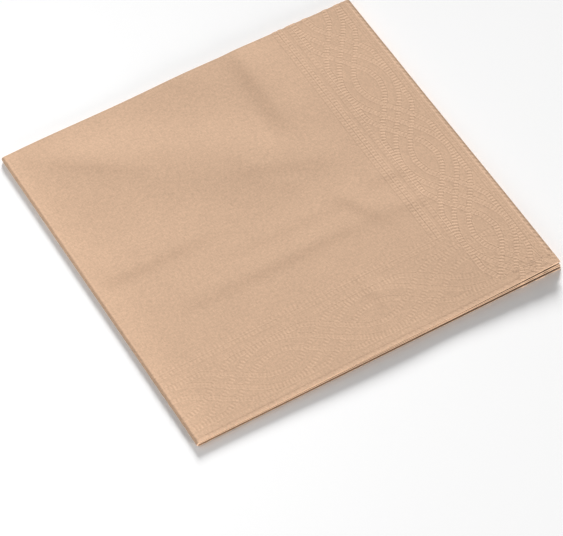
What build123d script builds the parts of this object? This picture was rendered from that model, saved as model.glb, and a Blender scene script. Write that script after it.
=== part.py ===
from build123d import *
from math import cos, pi
import os

# A square three-ply paper napkin, folded once in half and once more into a quarter, lying flat.
# X runs from the second fold to the open edge, Y from the open front edge to the first fold, Z is up.
# The origin is the middle of the folded square, on the surface that the napkin lies on. Millimetres.

folded_side = 165.0  # outside size of the folded square, fold to open edge
sheet_thickness = 0.35  # three plies, lightly pressed
fold_gap = 0.35  # clear space between two layers where a fold holds them together
fold_stagger = 0.5  # how far the upper pair of layers stops short of the lower pair
edge_stagger = 0.4  # how far the two inner layers stop short of the outer ones at the front
corner_fans = (0.0, 0.4, 0.9, 2.45)  # how far each layer, from below, has sprung up at the open corner

# The embossed border follows the two open edges.
border_middle = 17.1  # middle of the interlace, in from the open edge
oval_length = 45.4  # about one oval to the next, the first one centred on the fold
oval_reach = 10.6  # half the width of an oval
edge_insets = (3.6, 5.6)  # straight lines outside the interlace, in from the open edge
inner_insets = (30.0, 34.2, 36.5)  # straight lines inside it
band_width = 2.2  # raised band of the interlace
rule_width = 1.6  # raised straight line beside it
emboss_height = 0.2
emboss_root = 0.15  # how deep a band is rooted in the layer that carries it
fold_margin = 0.6  # the bands stop this far from the bend of a fold

stations = (0.0, 0.35, 0.7, 1.0)  # sections across, as shares from the second fold
leg_points = (0.0, 0.25, 0.5, 0.75, 1.0)  # points along a layer, as shares from the front edge

half = folded_side / 2
layer_pitch = sheet_thickness + fold_gap
inner_bend = fold_gap / 2  # inside radius of a fold that wraps nothing
outer_bend = inner_bend + sheet_thickness
stack_middle = (4 * sheet_thickness + 3 * fold_gap) / 2  # height of the second fold's axis
bend_line = half - outer_bend  # where the flat of a layer ends at the first fold
axis_line = -half + stack_middle  # where the flat of a layer ends at the second fold
outer_front = -half  # front edge of the lowest and the top layer
inner_front = -half + edge_stagger
row_length = folded_side - edge_insets[-1] - rule_width / 2  # as far as the other edge's straight lines
ovals = round(row_length / oval_length - 0.5)
oval_spacing = row_length / (ovals + 0.5)  # the row ends at a crossing


def smooth(share):
    """0 to 1 with level ends."""
    return share * share * (3 - 2 * share)


def lift(layer, across, along):
    """How far a layer stands over its place in the pressed stack, most at the open corner."""
    return corner_fans[layer] * smooth(across) * smooth(1 - along)


def leg(layer, height, across, x, front):
    """A line along a layer in a section, from its front edge to the first fold, over its underside."""
    place = layer * layer_pitch + height
    length = bend_line - front
    points = [(x, front + share * length, place + lift(layer, across, share)) for share in leg_points]
    if points[0][2] == points[-1][2]:
        return Line(points[0], points[-1])
    return Spline(*points, tangents=[(0, 1, 0), (0, 1, 0)])


def hairpin(lower, upper, across, x, lower_front, upper_front):
    """Section of two layers joined by the first fold, across the X axis."""
    under = leg(lower, 0, across, x, lower_front)
    floor = leg(lower, sheet_thickness, across, x, lower_front)
    roof = leg(upper, 0, across, x, upper_front)
    over = leg(upper, sheet_thickness, across, x, upper_front)
    middle = (under @ 1 + over @ 1) / 2
    outside = ThreePointArc(under @ 1, middle + Vector(0, outer_bend, 0), over @ 1)
    inside = ThreePointArc(roof @ 1, middle + Vector(0, inner_bend, 0), floor @ 1)
    upper_edge = Line(over @ 0, roof @ 0)
    lower_edge = Line(floor @ 0, under @ 0)
    return make_face([under, outside, over, upper_edge, roof, inside, floor, lower_edge])


def hook(upper, across, x, front):
    """The same section without its lower layer: the bend and the layer over it."""
    roof = leg(upper, 0, across, x, front)
    over = leg(upper, sheet_thickness, across, x, front)
    middle = over @ 1 - Vector(0, 0, outer_bend)
    under = middle - Vector(0, 0, outer_bend)
    floor = middle - Vector(0, 0, inner_bend)
    outside = ThreePointArc(under, middle + Vector(0, outer_bend, 0), over @ 1)
    inside = ThreePointArc(roof @ 1, middle + Vector(0, inner_bend, 0), floor)
    return make_face([outside, over, Line(over @ 0, roof @ 0), roof, inside, Line(floor, under)])


def skin(across, x):
    """Section of the thin space that the raised bands fill, from inside the top layer to just over it."""
    root = leg(3, sheet_thickness - emboss_root, across, x, outer_front)
    crest = leg(3, sheet_thickness + emboss_height, across, x, outer_front)
    return make_face([root, Line(root @ 1, crest @ 1), crest, Line(crest @ 0, root @ 0)])


def spread(section, reach):
    """A section carried from the second fold to the open edge, through one copy at each station."""
    length = reach - axis_line
    return loft([section(share, axis_line + share * length) for share in stations])


def lower_pair():
    """The lowest layer lies flat; the one over it rises a little towards the open corner."""
    low_corner = (Align.MIN, Align.MIN, Align.MIN)
    flat = Box(half - axis_line, bend_line - outer_front, sheet_thickness, align=low_corner)
    over = spread(lambda share, x: hook(1, share, x, inner_front), half)
    return Pos(axis_line, outer_front, 0) * flat + over


def upper_pair():
    """Both layers spring up towards the open corner."""
    return spread(lambda share, x: hairpin(2, 3, share, x, inner_front, outer_front), half - fold_stagger)


def second_fold():
    """The folded pair turned over about the middle of the stack."""
    axis = Axis((axis_line, 0, stack_middle), (0, 1, 0))
    return revolve(hairpin(0, 1, 0.0, axis_line, outer_front, inner_front), axis, 180)


def band(path):
    """A band along the front edge: its path is the way from the fold, and the offset from the middle."""
    middle = border_middle - half
    points = [(along - half, offset + middle) for along, offset in path if along <= row_length + 0.01]
    return trace(Spline(*points), band_width)


def oval_line(side):
    """One side of the row of ovals: an even wave."""
    quarters = range(4 * ovals + 3)
    return band([(step * oval_spacing / 4, side * oval_reach * cos(step * pi / 4)) for step in quarters])


def loop_line(parity, side):
    """A line that dips across every second oval and swings out along the side of the next."""
    dip = [(0.0, -0.47), (0.28, 0.0), (0.5, 0.67), (0.66, 1.01)]  # shares of the spacing and of the reach
    shares = []
    for oval in range(ovals + 2):
        if oval % 2 == parity:
            shares += [(oval - along, offset) for along, offset in reversed(dip[1:])]
            shares += [(oval + along, offset) for along, offset in dip]
        else:
            shares += [(oval, 1.03)]
    path = [(along * oval_spacing, side * offset * oval_reach) for along, offset in shares]
    return band([(along, offset) for along, offset in path if along >= 0])


def rule(inset):
    """A straight line along the front edge, as far as the same line of the other open edge."""
    length = folded_side - inset
    return Pos(length / 2 - half, inset - half) * Rectangle(length, rule_width)


def embossing():
    """The raised bands on the top layer: along the front edge, and mirrored to the other open edge."""
    strip = oval_line(1) + oval_line(-1)
    for parity in (0, 1):
        strip += loop_line(parity, 1) + loop_line(parity, -1)
    for inset in edge_insets + inner_insets:
        strip += rule(inset)
    pattern = strip + mirror(strip, Plane((0, 0, 0), x_dir=(1, -1, 0), z_dir=(1, 1, 0)))
    field = Box(folded_side, folded_side, folded_side, align=(Align.MIN, Align.MAX, Align.CENTER))
    clear_of_folds = Pos(axis_line + fold_margin, bend_line - fold_margin) * field
    return extrude(pattern, folded_side / 10) & spread(skin, half - fold_stagger) & clear_of_folds


napkin = lower_pair() + second_fold() + upper_pair() + embossing()

os.makedirs("parts", exist_ok=True)
export_step(napkin, "parts/napkin.step")
print("solids", len(napkin.solids()), "volume", round(napkin.volume, 1), "box", napkin.bounding_box())
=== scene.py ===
# A brown paper napkin folded twice, lying flat on a pale table
import bpy
import math
import numpy as np
from mathutils import Matrix, Vector


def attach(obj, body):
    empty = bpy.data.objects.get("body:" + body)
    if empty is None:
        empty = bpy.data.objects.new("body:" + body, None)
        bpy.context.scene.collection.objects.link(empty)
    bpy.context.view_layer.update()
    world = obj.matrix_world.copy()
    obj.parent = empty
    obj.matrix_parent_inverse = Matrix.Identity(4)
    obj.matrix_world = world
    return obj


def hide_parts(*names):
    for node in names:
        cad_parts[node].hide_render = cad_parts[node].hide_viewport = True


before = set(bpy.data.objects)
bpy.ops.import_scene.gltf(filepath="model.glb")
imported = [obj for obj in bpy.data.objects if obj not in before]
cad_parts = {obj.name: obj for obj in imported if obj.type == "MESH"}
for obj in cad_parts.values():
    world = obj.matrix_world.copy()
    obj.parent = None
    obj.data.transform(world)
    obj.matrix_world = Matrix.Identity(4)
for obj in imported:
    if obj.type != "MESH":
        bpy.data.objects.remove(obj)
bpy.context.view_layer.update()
mm = 0.001

# The folded sheet, in millimetres, with the same folds as its solid
fold = dict(
    side=165.0,  # folded square, fold to open edge
    thickness=0.35,
    gap=0.35,  # between two layers at a fold
    upperStagger=0.5,  # the upper pair stops short at the open side
    innerStagger=0.4,  # the inner layers stop short at the front
    loosened=0.12,  # how far the plies part on each side of a cut edge
    loosenedReach=2.5,
    fans=(0.0, 0.4, 0.9, 2.45),  # spring of each layer at the open corner, from below
)
half = fold["side"] / 2
layerPitch = fold["thickness"] + fold["gap"]
pairMiddle = (2 * fold["thickness"] + fold["gap"]) / 2
stackMiddle = (4 * fold["thickness"] + 3 * fold["gap"]) / 2
bendLine = half - pairMiddle  # the flat of a layer ends here at the first fold
axisLine = stackMiddle - half  # and here at the second fold

# The lattice of the unfolded sheet, counted in its finest cells
lattice = dict(
    leg=376,  # from a fold to a cut edge, a multiple of the coarse step
    bend=8,  # round a fold
    border=88,
    coarse=8,  # step where no one looks
    pairSteps=((2, 8), (1, 4)),  # on the border and on the plain field, of the lower pair and of the upper
)
legs = lattice["leg"]
bend = lattice["bend"]
last = 2 * legs + bend  # last line

# The embossed border, in millimetres: raised bands made of short bars
emboss = dict(
    middle=17.08,  # middle of the interlace, in from the open edge
    spacing=45.38,  # one oval to the next, the first on the fold
    reach=10.64,  # half the width of an oval
    rowLength=158.8,  # the ovals stop just short of the other open edge
    # a loop line's way from the middle of its dip, and its offset there
    dip=((0.0, -5.0), (6.8, -3.5), (12.6, 0.0), (18.6, 4.4), (23.7, 7.8), (29.7, 10.8), (45.38, 11.0)),
    bandWidth=2.4,
    tableLength=180.0,  # each line is a table of close stations
    tableStep=0.125,
    softening=16,  # stations on each side over which the corners of a loop line are rounded
    rowFade=1.5,  # the lines end over this length
    beyond=9.0,  # and lie this far off past it
    # inset, width and depth of each straight line
    rules=((3.6, 1.6, 0.7), (5.6, 1.6, 0.45), (30.0, 2.0, 0.95), (34.2, 2.0, 1.15), (36.5, 2.0, 1.0)),
    height=0.20,
    shoulder=0.65,  # a band's soft side
    overhang=0.25,  # of which this much is outside it
    innerEdge=38.6,  # the border ends here
    fade=1.2,
    frontShare=0.48,  # the front edge's bands are pressed less deep
    turnReach=10.0,  # on each side of the diagonal, where the straight lines change their depth
)


def smooth(x):
    # 0 to 1 with level ends, clamped
    x = np.clip(x, 0.0, 1.0)
    return x * x * (3 - 2 * x)


def hump(x):
    # bell of height 1 and half width about 1
    return np.exp(-x * x)


def splitLine(line):
    # a lattice line's side of a fold, its turn about the bend, and its share of the leg from the fold
    side = np.where(line < legs + bend / 2, -1.0, 1.0)
    turn = np.clip((line - legs) / bend, 0.0, 1.0) * math.pi
    share = np.where(side < 0, (legs - line) / legs, (line - legs - bend) / legs)
    return side, turn, np.clip(share, 0.0, 1.0)


# Soft creases of the top layers: middle across and up from the front, direction in degrees, half length,
# width of the steep side and of the gentle one, and height in millimetres; lengths are shares of the side
creases = (
    (0.36, 0.775, -28, 0.34, 0.125, 0.100, 1.40),
    (0.17, 0.87, -38, 0.12, 0.026, 0.060, 0.40),
    (0.585, 0.617, -20, 0.14, 0.030, 0.070, 0.40),
    (0.662, 0.85, -92, 0.15, 0.032, 0.090, 1.20),
    (0.80, 0.82, -45, 0.22, 0.170, 0.150, 0.55),
    (0.12, 0.528, 0, 0.20, 0.020, 0.090, 0.56),
    (0.43, 0.362, 0, 0.25, 0.020, 0.060, 0.52),
    (0.50, 0.442, 0, 0.15, 0.018, 0.050, 0.28),
    (0.685, 0.395, -60, 0.09, 0.022, 0.060, 0.46),
    (0.54, 0.570, -35, 0.06, 0.018, 0.030, 0.14),
    (0.79, 0.450, -3, 0.06, 0.018, 0.040, 0.28),
    (0.79, 0.345, -5, 0.06, 0.018, 0.035, 0.26),
    (0.60, 0.145, -20, 0.06, 0.022, 0.030, 0.14),
    (0.57, 0.160, -85, 0.08, 0.016, 0.030, 0.14),
)


# Where the upper pair lifts off the lower one along the first fold, and how the open front edge waves:
# middle across and half width as shares of the side, and height in millimetres
foldLifts = ((0.52, 0.13, 0.85), (0.84, 0.06, 0.2125))
frontWaves = ((0.37, 0.10, 0.10), (0.71, 0.13, -0.90), (0.88, 0.08, -0.35))
fading = dict(
    lift=0.10,  # reach from the first fold, as a share of the side
    wave=0.14,  # reach from the front edge
    crease=0.06,  # waves and creases start this far from the second fold
    follow=0.5,  # how much less of them the layer under the top one has
    followReach=0.05,  # from the first fold
    lip=0.02,  # at the first fold an inner layer still shows over this share
)


def sumOfHumps(u, humps):
    return sum(height * hump((u - middle) / width) for middle, width, height in humps)


def creaseRise(u, v):
    # each crease is a bell across a slanting line, steep on one side and faded at its ends
    rise = 0 * u
    for middleU, middleV, slant, reach, steep, gentle, height in creases:
        a = math.radians(slant)
        run = (u - middleU) * math.cos(a) + (v - middleV) * math.sin(a)
        off = (v - middleV) * math.cos(a) - (u - middleU) * math.sin(a)
        width = np.where(off < 0, steep, gentle)
        rise = rise + height * hump(off / width) * hump((run / reach) ** 2)
    return rise


def foldSheet(i, j, face, relief):
    # the first fold turns a point about its bend, then the pair turns about the middle of the stack
    side, turn, u = splitLine(i)
    wing, roll, v = splitLine(j)
    outer = wing < 0
    layer = np.where(side < 0, np.where(outer, 0, 1), np.where(outer, 3, 2))
    fromCut = (1 - np.maximum(u, v)) * fold["side"]
    resting = (layer == 0) & (face > 0)
    parted = np.where(resting, 0.0, fold["loosened"] * hump(fromCut / fold["loosenedReach"]))
    radius = layerPitch / 2 + face * (fold["thickness"] / 2 + parted) + relief
    front = np.where(outer, -half, fold["innerStagger"] - half)
    y = bendLine + radius * np.sin(roll) - v * (bendLine - front)
    arm = stackMiddle - pairMiddle + radius * np.cos(roll)
    reach = np.where(side < 0, half, half - fold["upperStagger"]) - axisLine
    x = axisLine - arm * np.sin(turn) + u * reach
    z = stackMiddle - arm * np.cos(turn)
    spring = np.array(fold["fans"])[layer] * smooth(u) * smooth(v)
    lift = np.where(side > 0, sumOfHumps(u, foldLifts) * hump(v / fading["lift"]), 0.0)
    wave = sumOfHumps(u, frontWaves) * hump((1 - v) / fading["wave"])
    under = 1 - fading["follow"] * smooth(v / fading["followReach"])
    share = np.where(layer == 3, 1.0, np.where(layer == 2, under, 0.0))
    z = z + spring + lift + share * (wave + creaseRise(u, 1 - v)) * smooth(u / fading["crease"])
    return np.stack([x, y, z], -1)


def lineTable(parity, sign):
    # one line of the interlace at close stations: offset, slope and length run
    length, reach = emboss["tableLength"], emboss["softening"]
    q = np.linspace(0.0, length, round(length / emboss["tableStep"]) + 1)
    if parity is None:
        off = emboss["reach"] * np.cos(math.pi * q / emboss["spacing"])
    else:
        knots = np.array(emboss["dip"])
        period = 2 * emboss["spacing"]
        near = np.abs((q + (parity + 1) * emboss["spacing"]) % period - emboss["spacing"])
        off = np.interp(near, knots[:, 0], knots[:, 1])
        kernel = np.hanning(2 * reach + 3)[1:-1]
        padded = np.concatenate([off[reach:0:-1], off, off[-2:-2 - reach:-1]])
        off = np.convolve(padded, kernel / kernel.sum(), "valid")
    off = sign * off
    run = np.concatenate([[0.0], np.cumsum(np.hypot(np.diff(q), np.diff(off)))])
    return q, off, np.gradient(off, q), run


# Lines of the interlace: which ovals one dips across, none for the ovals' own outline, and its side
interlace = [(None, 1), (None, -1), (0, 1), (0, -1), (1, 1), (1, -1)]


def bandField(q, inset):
    # for each line: signed distance from its middle, and place along it at the foot of the perpendicular
    fields = []
    for parity, sign in interlace:
        table, off, slope, run = lineTable(parity, sign)
        gap = inset - emboss["middle"] - np.interp(q, table, off)
        tilt = np.interp(q, table, slope)
        distance = gap / np.sqrt(1 + tilt * tilt)
        foot = q + gap * tilt / (1 + tilt * tilt)
        distance = distance + emboss["beyond"] * smooth((q - emboss["rowLength"]) / emboss["rowFade"])
        fields.append((distance, np.interp(foot, table, run)))
    return fields


def ridge(distance, width):
    # 1 on a band and 0 beside it, with soft shoulders
    return smooth((width / 2 + emboss["overhang"] - np.abs(distance)) / emboss["shoulder"])


def borderHeight(fields, across, along):
    # the highest of the bands at a point, as a share of the embossing's height
    height = 0 * across
    for index, (distance, _) in enumerate(fields):
        share = emboss["frontShare"] if index < len(interlace) else 1.0
        height = np.maximum(height, share * ridge(distance, emboss["bandWidth"]))
    front = smooth(0.5 + (along - across) / (2 * emboss["turnReach"]))
    share = 1 + (emboss["frontShare"] - 1) * front
    nearInset = fold["side"] - np.maximum(across, along)
    for inset, width, depth in emboss["rules"]:
        height = np.maximum(height, share * depth * ridge(nearInset - inset, width))
    return height


def blocksOf(outside):
    # blocks of the lattice, each with its first line, last line and step across the sheet and then along it
    near = lattice["border"]
    coarse = lattice["coarse"]
    lower, upper = lattice["pairSteps"]
    if not outside:
        spans = [(0, legs, coarse), (legs, legs + bend, 1), (legs + bend, last, coarse)]
        return [across + along for across in spans for along in spans]
    found = []
    for start, edge, field, (fine, plain) in (
        (0, (0, near), (near, legs), lower),
        (legs + bend, (last - near, last), (legs + bend, last - near), upper),
    ):
        found += [
            edge + (fine, 0, legs, fine),
            field + (fine, 0, near, fine),
            field + (plain, near, legs, plain),
            edge + (fine, legs, legs + bend, 1),
            field + (plain, legs, legs + bend, 1),
            (start, start + legs, coarse, legs + bend, last, coarse),
        ]
    # the second fold runs between the pairs
    found += [
        (legs, legs + bend, 1, 0, near, 1),
        (legs, legs + bend, 1, near, legs, upper[1]),
        (legs, legs + bend, 1, legs, legs + bend, 1),
        (legs, legs + bend, 1, legs + bend, last, coarse),
    ]
    return found


def cellRings(block):
    # lattice points round every cell of a block, anticlockwise, with those between its corners
    i0, i1, iStep, j0, j1, jStep = block
    i, j = np.meshgrid(np.arange(i0, i1, iStep), np.arange(j0, j1, jStep), indexing="ij")
    along, up = np.arange(iStep), np.arange(jStep)
    di = np.concatenate([along, 0 * up + iStep, iStep - along, 0 * up])
    dj = np.concatenate([0 * along, up, 0 * along + jStep, jStep - up])
    return i.reshape(-1, 1) + di, j.reshape(-1, 1) + dj


def sheetLattice():
    # both faces on one lattice: a cell takes in every point that a finer neighbour has on its edges
    used = np.zeros((2, last + 1, last + 1), bool)
    for face in (0, 1):
        for i0, i1, iStep, j0, j1, jStep in blocksOf(face == 0):
            used[face, i0:i1 + 1:iStep, j0:j1 + 1:jStep] = True
    number = np.cumsum(used.reshape(-1)).reshape(used.shape) - 1
    loops, totals = [], []

    def addCells(keep, ids, flip):
        if flip:
            keep, ids = keep[:, ::-1], ids[:, ::-1]
        loops.append(ids[keep])
        totals.append(keep.sum(1))

    for face in (0, 1):
        for block in blocksOf(face == 0):
            i, j = cellRings(block)
            addCells(used[face, i, j], number[face, i, j], face == 0)
    # along the four cut edges a wall of polygons joins the faces
    coarse = lattice["coarse"]
    legSpans = np.full(legs // coarse, coarse)
    spans = np.concatenate([legSpans, np.ones(bend, int), legSpans])
    starts = np.cumsum(spans) - spans
    steps = np.arange(coarse + 1)
    run = starts[:, None] + np.minimum(steps, spans[:, None])
    fresh = steps <= spans[:, None]
    for edge in (0, last):
        for sideways in (False, True):
            rim = np.full(run.shape, edge)
            i, j = (run, rim) if sideways else (rim, run)
            keep = np.concatenate([used[0, i, j] & fresh, (used[1, i, j] & fresh)[:, ::-1]], 1)
            ids = np.concatenate([number[0, i, j], number[1, i, j][:, ::-1]], 1)
            addCells(keep, ids, (edge == 0) != sideways)
    walls = sum(len(part) for part in totals[-4:])
    return used, np.concatenate(loops), np.concatenate(totals), walls


def addAttribute(mesh, name, domain, *columns):
    # one number, or a vector of two numbers and 0, for each point or face
    if len(columns) == 1:
        layer = mesh.attributes.new(name, "FLOAT", domain)
        layer.data.foreach_set("value", columns[0].astype(np.float32))
    else:
        layer = mesh.attributes.new(name, "FLOAT_VECTOR", domain)
        values = np.stack([*columns, 0 * columns[0]], -1)
        layer.data.foreach_set("vector", values.astype(np.float32).ravel())


def buildSheet():
    used, loops, totals, walls = sheetLattice()
    face, i, j = np.nonzero(used)
    side, _, u = splitLine(i.astype(float))
    wing, _, v = splitLine(j.astype(float))
    across, along = u * fold["side"], v * fold["side"]
    bands = bandField(across, fold["side"] - along) + bandField(along, fold["side"] - across)
    height = borderHeight(bands, across, along)
    # the underside is sunk between its bands instead, which then lie level with the plain field
    border = smooth((emboss["innerEdge"] - fold["side"] + np.maximum(across, along)) / emboss["fade"])
    under = (side < 0) & (wing < 0)
    relief = np.where(under, -border * (1 - height), height) * emboss["height"] * (face == 0)
    points = foldSheet(i.astype(float), j.astype(float), 1.0 - 2.0 * face, relief)

    mesh = bpy.data.meshes.new("tissueSheet")
    mesh.vertices.add(len(points))
    mesh.vertices.foreach_set("co", (points * mm).astype(np.float32).ravel())
    mesh.loops.add(len(loops))
    mesh.loops.foreach_set("vertex_index", loops.astype(np.int32))
    mesh.polygons.add(len(totals))
    mesh.polygons.foreach_set("loop_start", (np.cumsum(totals) - totals).astype(np.int32))
    mesh.update(calc_edges=True)
    print("mesh mended:", mesh.validate())

    # unfolded place in millimetres, then each line's distance and place along it
    addAttribute(mesh, "flatPlace", "POINT", across, along)
    for index, (distance, run) in enumerate(bands):
        addAttribute(mesh, "line%d" % index, "POINT", distance, run)
    addAttribute(mesh, "cutEdge", "FACE", np.arange(len(totals)) >= len(totals) - walls)
    # 1 where a face looks into the folded sheet, 0 where it shows
    shown = np.where(wing < 0, 0.0, smooth(v / fading["lip"]))
    addAttribute(mesh, "enclosed", "POINT", np.where(face == 0, shown, 1.0))
    mesh.polygons.foreach_set("use_smooth", np.ones(len(totals), bool))
    mesh.set_sharp_from_angle(angle=math.radians(60))
    print("sheet:", len(points), "points,", int((totals - 2).sum()), "triangles")
    napkin = bpy.data.objects.new("foldedNapkin", mesh)
    bpy.context.scene.collection.objects.link(napkin)
    return napkin


# Tissue paper, with lengths in millimetres
tissue = dict(
    colour=(0.668, 0.440, 0.290),
    roughness=0.92,
    barPitch=1.54,  # bars across the interlace
    rulePitch=1.74,  # bars across the straight lines
    edgePitch=2.4,  # slanted bars along the cut edge
    edgeInset=1.1,
    edgeWidth=1.6,
    edgeSlant=0.58,
    edgeShare=1.3,  # of the straight lines' depth
    barSide=(-0.25, 0.50),  # a bar rises from outside its band's side to inside it
    barHeight=0.26,
    ruleShare=0.75,  # of it on the straight lines
    barFoot=0.60,  # share of the height that a band keeps between its bars
    fibreHeight=0.036,
    crepeHeight=0.020,
    plainTone=0.905,  # before the noises add theirs
    cloudTone=0.10,
    wideTone=0.05,
    grainTone=0.36,
    barHighlightTone=0.065,  # painted highlight on the tops of the bars, and painted shade in the gaps between them
    cutEdgeHighlight=1.45,  # painted highlight: the cut edges are painted paler, for the light they catch
    foldHighlight=1.085,  # painted highlight near the second fold
    foldHighlightReach=16.0,
    bendLightAndShade=(1.12, 0.86),  # painted highlight on the very bend of the second fold, and painted shade on that of the first
    bendPaintReach=1.2,
    insideShade=0.50,  # painted shade between the layers
    specular=0.2,
    sheen=0.15,
    sheenRoughness=0.6,
)


def newNode(tree, kind, **values):
    node = tree.nodes.new(kind)
    for name, value in values.items():
        setattr(node, name, value)
    return node


def feed(tree, node, values):
    # each socket, by name or number, gets a constant or a link
    for key, value in values.items():
        if isinstance(value, bpy.types.NodeSocket):
            tree.links.new(value, node.inputs[key])
        else:
            node.inputs[key].default_value = value


def mathNode(tree, operation, *inputs):
    node = newNode(tree, "ShaderNodeMath", operation=operation)
    feed(tree, node, dict(enumerate(inputs)))
    return node.outputs[0]


def easeNode(tree, value, fromLow, fromHigh, toLow=0.0, toHigh=1.0):
    # from one value to another with level ends
    node = newNode(tree, "ShaderNodeMapRange", interpolation_type="SMOOTHSTEP")
    limits = {"From Min": fromLow, "From Max": fromHigh, "To Min": toLow, "To Max": toHigh}
    feed(tree, node, {"Value": value, **limits})
    return node.outputs["Result"]


def attributeNode(tree, name, output="Fac"):
    return newNode(tree, "ShaderNodeAttribute", attribute_name=name).outputs[output]


def vectorParts(tree, name):
    # the first two numbers of a vector attribute
    parts = tree.nodes.new("ShaderNodeSeparateXYZ")
    tree.links.new(attributeNode(tree, name, "Vector"), parts.inputs[0])
    return parts.outputs[0], parts.outputs[1]


def emptyTree(owner):
    owner.use_nodes = True
    owner.node_tree.nodes.clear()
    return owner.node_tree


def barGroup():
    # bars across a band: a mask that fades at the band's sides, times a wave along it
    tree = bpy.data.node_groups.new("barBand", "ShaderNodeTree")
    for name in ("Distance", "Run", "Width", "Pitch"):
        tree.interface.new_socket(name, in_out="INPUT", socket_type="NodeSocketFloat")
    tree.interface.new_socket("Height", in_out="OUTPUT", socket_type="NodeSocketFloat")
    source = tree.nodes.new("NodeGroupInput")
    out = tree.nodes.new("NodeGroupOutput")
    away = mathNode(tree, "ABSOLUTE", source.outputs["Distance"])
    halfWidth = mathNode(tree, "MULTIPLY", source.outputs["Width"], 0.5)
    mask = easeNode(tree, mathNode(tree, "SUBTRACT", halfWidth, away), *tissue["barSide"])
    turns = mathNode(tree, "DIVIDE", source.outputs["Run"], source.outputs["Pitch"])
    wave = mathNode(tree, "COSINE", mathNode(tree, "MULTIPLY", turns, 2 * math.pi))
    swing = (1 - tissue["barFoot"]) / 2
    lifted = mathNode(tree, "MULTIPLY_ADD", wave, swing, 1 - swing)
    height = mathNode(tree, "MULTIPLY", mask, lifted)
    tree.links.new(height, out.inputs["Height"])
    return tree


def pressedBars(tree, across, along):
    # height of the bars, as a share: on the interlace, on the straight lines and along the cut edge
    group = barGroup()

    def addBars(distance, run, width, pitch, share):
        node = newNode(tree, "ShaderNodeGroup", node_tree=group)
        feed(tree, node, dict(Distance=distance, Run=run, Width=width, Pitch=pitch))
        return mathNode(tree, "MULTIPLY", node.outputs["Height"], share)

    bars = []
    for index in range(2 * len(interlace)):
        distance, run = vectorParts(tree, "line%d" % index)
        share = emboss["frontShare"] if index < len(interlace) else 1.0
        bars.append(addBars(distance, run, emboss["bandWidth"], tissue["barPitch"], share))

    near = mathNode(tree, "SUBTRACT", fold["side"], mathNode(tree, "MAXIMUM", across, along))
    run = mathNode(tree, "MINIMUM", across, along)
    ruled = []
    for inset, width, share in emboss["rules"]:
        distance = mathNode(tree, "SUBTRACT", near, inset)
        ruled.append(addBars(distance, run, width, tissue["rulePitch"], share))
    slanted = mathNode(tree, "MULTIPLY_ADD", near, tissue["edgeSlant"], run)
    distance = mathNode(tree, "SUBTRACT", near, tissue["edgeInset"])
    ruled.append(addBars(distance, slanted, tissue["edgeWidth"], tissue["edgePitch"], tissue["edgeShare"]))

    turn = emboss["turnReach"]
    side, front = tissue["ruleShare"], tissue["ruleShare"] * emboss["frontShare"]
    depth = easeNode(tree, mathNode(tree, "SUBTRACT", along, across), -turn, turn, side, front)
    bars += [mathNode(tree, "MULTIPLY", height, depth) for height in ruled]
    pressed = bars[0]
    for other in bars[1:]:
        pressed = mathNode(tree, "MAXIMUM", pressed, other)
    return pressed


def paperNoises(tree):
    # two ways of fibres, a faint crepe, and wide and widest clouds
    place = tree.nodes.new("ShaderNodeTexCoord").outputs["Object"]
    found = []
    for scale, detail, stretch, turn in (
        (1700.0, 3.0, (1.0, 0.45, 1.0), 0.5),
        (1500.0, 3.0, (0.45, 1.0, 1.0), -0.2),
        (420.0, 2.0, (0.30, 1.0, 1.0), 0.0),
        (95.0, 4.0, (1.0, 1.0, 1.0), 0.0),
        (16.0, 2.0, (1.0, 1.0, 1.0), 0.0),
    ):
        mapping = tree.nodes.new("ShaderNodeMapping")
        feed(tree, mapping, dict(Vector=place, Scale=stretch, Rotation=(0.0, 0.0, turn)))
        node = tree.nodes.new("ShaderNodeTexNoise")
        feed(tree, node, dict(Vector=mapping.outputs[0], Scale=scale, Detail=detail, Roughness=0.6))
        found.append(node.outputs["Fac"])
    return found


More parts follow.
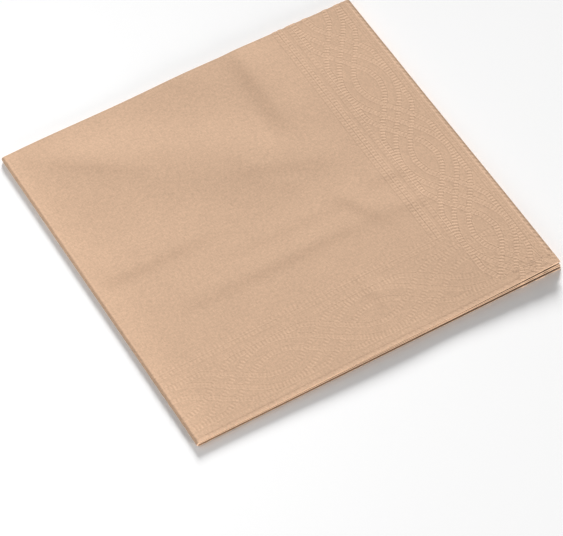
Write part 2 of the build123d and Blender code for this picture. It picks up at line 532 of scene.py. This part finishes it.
def makeTissue():
    material = bpy.data.materials.new("tissuePaper")
    tree = emptyTree(material)
    across, along = vectorParts(tree, "flatPlace")
    cut = attributeNode(tree, "cutEdge")
    inside = mathNode(tree, "MULTIPLY", attributeNode(tree, "enclosed"), mathNode(tree, "SUBTRACT", 1.0, cut))
    # between the layers no bars show
    pressed = pressedBars(tree, across, along)
    pressed = mathNode(tree, "MULTIPLY", pressed, mathNode(tree, "SUBTRACT", 1.0, inside))

    fibres, crossed, crepe, cloud, wide = paperNoises(tree)
    fibrous = mathNode(tree, "ADD", fibres, crossed)
    fine = mathNode(tree, "MULTIPLY", fibrous, tissue["fibreHeight"])
    relief = mathNode(tree, "MULTIPLY_ADD", pressed, tissue["barHeight"], fine)
    relief = mathNode(tree, "ADD", relief, mathNode(tree, "MULTIPLY", crepe, tissue["crepeHeight"]))
    bump = tree.nodes.new("ShaderNodeBump")
    feed(tree, bump, dict(Strength=1.0, Distance=mm, Height=relief))

    # the colour wanders a little with the noises, each of them 0.5 on average
    tone = mathNode(tree, "MULTIPLY_ADD", cloud, tissue["cloudTone"], tissue["plainTone"])
    swing = mathNode(tree, "MULTIPLY_ADD", wide, tissue["wideTone"], -tissue["wideTone"] / 2)
    tone = mathNode(tree, "ADD", tone, swing)
    grain = mathNode(tree, "MULTIPLY_ADD", fibrous, tissue["grainTone"], -tissue["grainTone"])
    tone = mathNode(tree, "ADD", tone, grain)
    # painted highlight on the tops of the bars and painted shade in the gaps between them
    tone = mathNode(tree, "MULTIPLY_ADD", pressed, tissue["barHighlightTone"], tone)
    # painted highlight on the cut edges, and painted shade on the faces between the layers
    for place, share in ((cut, tissue["cutEdgeHighlight"]), (inside, tissue["insideShade"])):
        tone = mathNode(tree, "MULTIPLY", tone, mathNode(tree, "MULTIPLY_ADD", place, share - 1, 1.0))
    # painted highlight near and on the second fold, and painted shade on the bend of the first
    second, first = tissue["bendLightAndShade"]
    for way, reach, paintedLight in (
        (across, tissue["foldHighlightReach"], tissue["foldHighlight"]),
        (across, tissue["bendPaintReach"], second),
        (along, tissue["bendPaintReach"], first),
    ):
        tone = mathNode(tree, "MULTIPLY", tone, easeNode(tree, way, 0.0, reach, paintedLight, 1.0))
    shade = newNode(tree, "ShaderNodeVectorMath", operation="SCALE")
    shade.inputs[0].default_value = tissue["colour"]
    tree.links.new(tone, shade.inputs["Scale"])

    paper = tree.nodes.new("ShaderNodeBsdfPrincipled")
    feed(tree, paper, {"Normal": bump.outputs[0], "Base Color": shade.outputs[0]})
    paper.inputs["Roughness"].default_value = tissue["roughness"]
    paper.inputs["Specular IOR Level"].default_value = tissue["specular"]
    paper.inputs["Sheen Weight"].default_value = tissue["sheen"]
    paper.inputs["Sheen Roughness"].default_value = tissue["sheenRoughness"]
    out = tree.nodes.new("ShaderNodeOutputMaterial")
    tree.links.new(paper.outputs[0], out.inputs["Surface"])
    return material


napkin = buildSheet()
napkin.data.materials.append(makeTissue())
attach(napkin, "root")
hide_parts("napkin")
print("napkin built and finished")


# Table, backdrop, light and camera, in metres
studio = dict(
    floorColour=(0.88, 0.88, 0.88),  # as it lights the napkin
    floorSeen=(1.04, 1.04, 1.04),  # as the camera sees it
    floorHalf=3.0,
    keyPlace=(3.78, 6.55, 2.98),
    keyEnergy=980.0,
    keySize=2.5,
    fillPlace=(-0.24, 0.06, 0.24),
    fillEnergy=0.35,
    fillSize=0.30,
    frontPlace=(0.38, -1.42, 0.31),
    frontEnergy=12.2,
    frontSize=0.6,
    roomStrength=0.14,
)


def seenDirectly(tree):
    # 1 for rays from the camera, and for those that gloss or glass passes on
    rays = tree.nodes.new("ShaderNodeLightPath")
    seen = mathNode(tree, "MAXIMUM", rays.outputs["Is Camera Ray"], rays.outputs["Is Glossy Ray"])
    return mathNode(tree, "MAXIMUM", seen, rays.outputs["Is Transmission Ray"])


def makeFloor():
    size = studio["floorHalf"]
    mesh = bpy.data.meshes.new("tableTop")
    corners = [(-size, -size, 0), (size, -size, 0), (size, size, 0), (-size, size, 0)]
    mesh.from_pydata(corners, [], [(0, 1, 2, 3)])
    floor = bpy.data.objects.new("tableTop", mesh)
    bpy.context.scene.collection.objects.link(floor)
    material = bpy.data.materials.new("paleTable")
    tree = emptyTree(material)
    shader = tree.nodes.new("ShaderNodeBsdfDiffuse")
    blend = newNode(tree, "ShaderNodeMix", data_type="RGBA")
    blend.inputs["A"].default_value = (*studio["floorColour"], 1)
    blend.inputs["B"].default_value = (*studio["floorSeen"], 1)
    tree.links.new(seenDirectly(tree), blend.inputs["Factor"])
    tree.links.new(blend.outputs["Result"], shader.inputs["Color"])
    out = tree.nodes.new("ShaderNodeOutputMaterial")
    tree.links.new(shader.outputs[0], out.inputs["Surface"])
    mesh.materials.append(material)
    return floor


def makeWorld():
    world = bpy.data.worlds.new("softRoom")
    bpy.context.scene.world = world
    tree = emptyTree(world)
    room = tree.nodes.new("ShaderNodeBackground")
    room.inputs["Color"].default_value = (1, 1, 1, 1)
    room.inputs["Strength"].default_value = studio["roomStrength"]
    white = tree.nodes.new("ShaderNodeBackground")
    white.inputs["Color"].default_value = (1, 1, 1, 1)
    white.inputs["Strength"].default_value = 1.0
    mix = tree.nodes.new("ShaderNodeMixShader")
    tree.links.new(seenDirectly(tree), mix.inputs[0])
    tree.links.new(room.outputs[0], mix.inputs[1])
    tree.links.new(white.outputs[0], mix.inputs[2])
    out = tree.nodes.new("ShaderNodeOutputWorld")
    tree.links.new(mix.outputs[0], out.inputs[0])


def makeLight(name):
    lamp = bpy.data.lights.new(name + "Light", "AREA")
    lamp.shape = "DISK"
    lamp.size = studio[name + "Size"]
    lamp.energy = studio[name + "Energy"]
    holder = bpy.data.objects.new(name + "Light", lamp)
    holder.location = studio[name + "Place"]
    holder.rotation_euler = (Vector((0, 0, 0)) - holder.location).to_track_quat("-Z", "Y").to_euler()
    bpy.context.scene.collection.objects.link(holder)


# The photograph's view, in degrees and metres
view = dict(
    azimuth=-27.245,  # round from +Y
    elevation=52.798,
    roll=-3.306,
    distance=1.3541,
    target=(-0.01289, -0.02635, 0.0025),
    focalPixels=3414,
    photoWidth=563,  # in pixels
    filmWidth=36.0,  # in millimetres
)


def makeCamera():
    a, e, r = (math.radians(view[name]) for name in ("azimuth", "elevation", "roll"))
    forward = Vector((-math.sin(a) * math.cos(e), math.cos(a) * math.cos(e), -math.sin(e)))
    level = forward.cross(Vector((0, 0, 1))).normalized()
    up = level.cross(forward)
    right = level * math.cos(r) + up * math.sin(r)
    top = right.cross(forward)
    camera = bpy.data.cameras.new("photoCamera")
    camera.sensor_fit = "HORIZONTAL"
    camera.sensor_width = view["filmWidth"]
    camera.lens = view["focalPixels"] / view["photoWidth"] * view["filmWidth"]
    camera.clip_end = 20
    holder = bpy.data.objects.new("photoCamera", camera)
    turn = Matrix((right, top, -forward)).transposed().to_4x4()
    place = Vector(view["target"]) - forward * view["distance"]
    holder.matrix_world = Matrix.Translation(place) @ turn
    bpy.context.scene.collection.objects.link(holder)
    bpy.context.scene.camera = holder


floor = makeFloor()
makeWorld()
for name in ("key", "fill", "front"):
    makeLight(name)
makeCamera()
bpy.context.scene.view_settings.view_transform = "Standard"
print("stage set")
